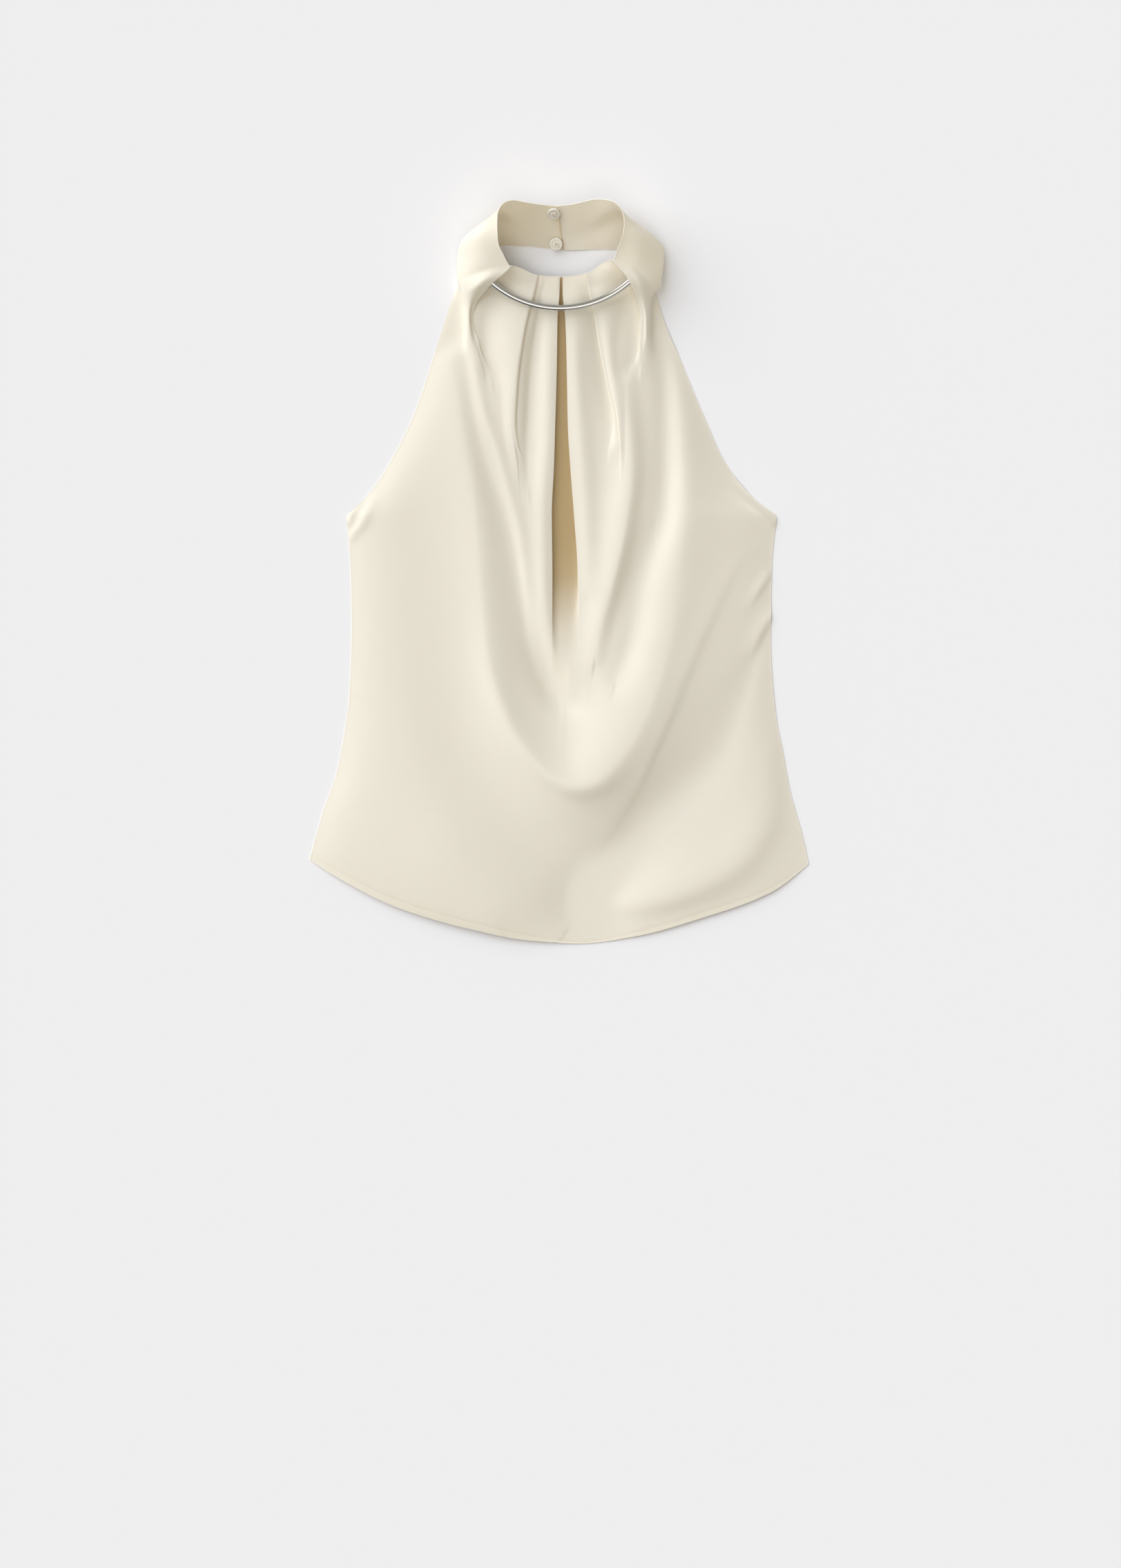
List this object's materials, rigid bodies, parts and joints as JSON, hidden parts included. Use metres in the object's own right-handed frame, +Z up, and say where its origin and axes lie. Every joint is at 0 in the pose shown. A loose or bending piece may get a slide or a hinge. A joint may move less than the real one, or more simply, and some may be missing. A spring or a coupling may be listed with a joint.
{
  "type": "halter neck top",
  "caption": "Halter neck top lying flat, face up: soft folded collar, pleated front held by a curved metal neck bar, plain back panel, open armholes and a curved hem.",
  "frame": {"origin": "middle of the outline on the surface that the top lies on", "axes": "+X to the right in the picture, +Y from the hem to the neck, +Z up from the surface"},
  "size_m": [0.4694, 0.6996, 0.0425],
  "materials": {
    "satin": "ivory satin",
    "bar_metal": "polished",
    "button_clear": "clear cream"
  },
  "bodies": {
    "root": {"back": "satin", "front": "satin", "neck_bar": "bar_metal", "button_upper": "button_clear", "button_lower": "button_clear"}
  },
  "joints": []
}
